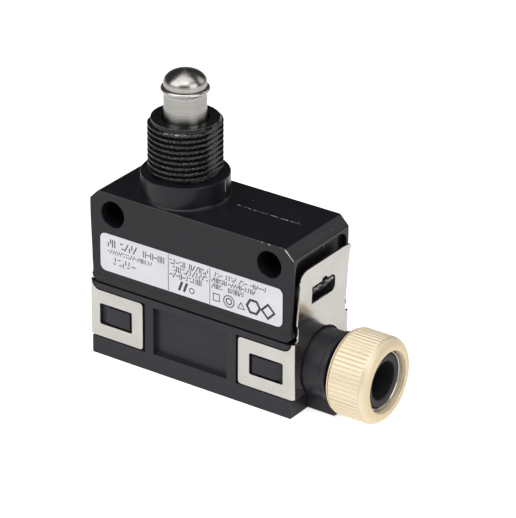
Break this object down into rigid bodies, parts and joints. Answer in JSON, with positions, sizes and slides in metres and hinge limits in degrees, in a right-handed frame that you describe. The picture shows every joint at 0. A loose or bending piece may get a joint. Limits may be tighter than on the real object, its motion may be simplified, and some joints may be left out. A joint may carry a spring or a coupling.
{
  "type": "limit switch",
  "caption": "Compact horizontal limit switch: metal case, threaded bushing with a pin plunger, clip-on terminal cover with sprung lock plates, and a knurled cable gland.",
  "frame": {"origin": "middle of the flat underside of the terminal cover", "axes": "+Z along the plunger, away from the case; +X towards the cable gland; the name plate faces -Y"},
  "size_m": [0.0612, 0.0182, 0.0585],
  "materials": {
    "case_paint": "satin charcoal paint on die-cast aluminium",
    "cover_moulding": "satin blue-grey charcoal paint on the die-cast cover",
    "stainless": "cold-rolled stainless sheet, bright on the ends",
    "turned_stainless": "turned stainless steel with fine lathe marks",
    "spring_steel": "drawn spring steel",
    "plated_screw": "zinc plated",
    "bronze": "machined bronze",
    "contact_brass": "stamped brass",
    "gold_anodised": "pale gold satin anodising over a straight knurl",
    "rubber": "matt black",
    "gland_rubber": "matt dark grey",
    "phenolic": "matt red-brown thermoset",
    "acetal": "matt white",
    "label_foil": "semi-gloss white foil"
  },
  "bodies": {
    "housing": {"case": "case_paint", "terminal_cover": "cover_moulding", "cover_gasket": "rubber", "name_plate": "label_foil", "lock_plate_right": "stainless", "lock_plate_left": "stainless", "guide_bush": "bronze", "plunger_seal": "rubber", "spring_seat": "spring_steel", "return_spring": "spring_steel", "contact_spring": "spring_steel", "switch_block": "phenolic", "switch_block_cover": "phenolic", "block_screw_front": "plated_screw", "block_screw_rear": "plated_screw", "gland_rubber": "gland_rubber", "terminal_closed_left": "contact_brass", "terminal_screw_closed_left": "plated_screw", "terminal_closed_right": "contact_brass", "terminal_screw_closed_right": "plated_screw", "terminal_open_left": "contact_brass", "terminal_screw_open_left": "plated_screw", "terminal_open_right": "contact_brass", "terminal_screw_open_right": "plated_screw"},
    "plunger_body": {"plunger": "turned_stainless", "plunger_ring": "spring_steel"},
    "contact_carrier": {"contact_pusher": "acetal", "contact_bridge": "contact_brass", "overtravel_spring": "spring_steel"},
    "tongue_right": {"lock_tongue_right": "stainless"},
    "tongue_left": {"lock_tongue_left": "stainless"},
    "gland_slider": {"gland_washer": "turned_stainless"},
    "gland_nut_body": {"gland_nut": "gold_anodised"}
  },
  "joints": [
    {"name": "plunger_press", "type": "slide", "parent": "housing", "child": "plunger_body", "axis": [0, 0, -1], "range_m": [0, 0.005], "stiffness_N_per_m": 900, "springref_m": -0.002, "deforming": ["return_spring", "overtravel_spring"]},
    {"name": "contact_travel", "type": "slide", "parent": "housing", "child": "contact_carrier", "axis": [0, 0, -1], "range_m": [0, 0.0015], "deforming": ["contact_spring"]},
    {"name": "lock_tongue_right_flex", "type": "hinge", "parent": "housing", "child": "tongue_right", "pos_m": [0.0229, 0, 0.01655], "axis": [0, 1, 0], "range_deg": [0, 5], "stiffness_Nm_per_rad": 0.4},
    {"name": "lock_tongue_left_flex", "type": "hinge", "parent": "housing", "child": "tongue_left", "pos_m": [-0.0229, 0, 0.01655], "axis": [0, -1, 0], "range_deg": [0, 5], "stiffness_Nm_per_rad": 0.4},
    {"name": "gland_advance", "type": "slide", "parent": "housing", "child": "gland_slider", "axis": [1, 0, 0], "range_m": [0, 0.0031]},
    {"name": "gland_nut_turn", "type": "hinge", "parent": "gland_slider", "child": "gland_nut_body", "pos_m": [0.0295, 0, 0.00846], "axis": [1, 0, 0], "range_deg": [0, 1080]}
  ],
  "couplings": [
    {"joint": "contact_travel", "follows": "plunger_press", "ratio": 0.3},
    {"joint": "gland_advance", "follows": "gland_nut_turn", "m_per_rad": 0.00015915}
  ]
}
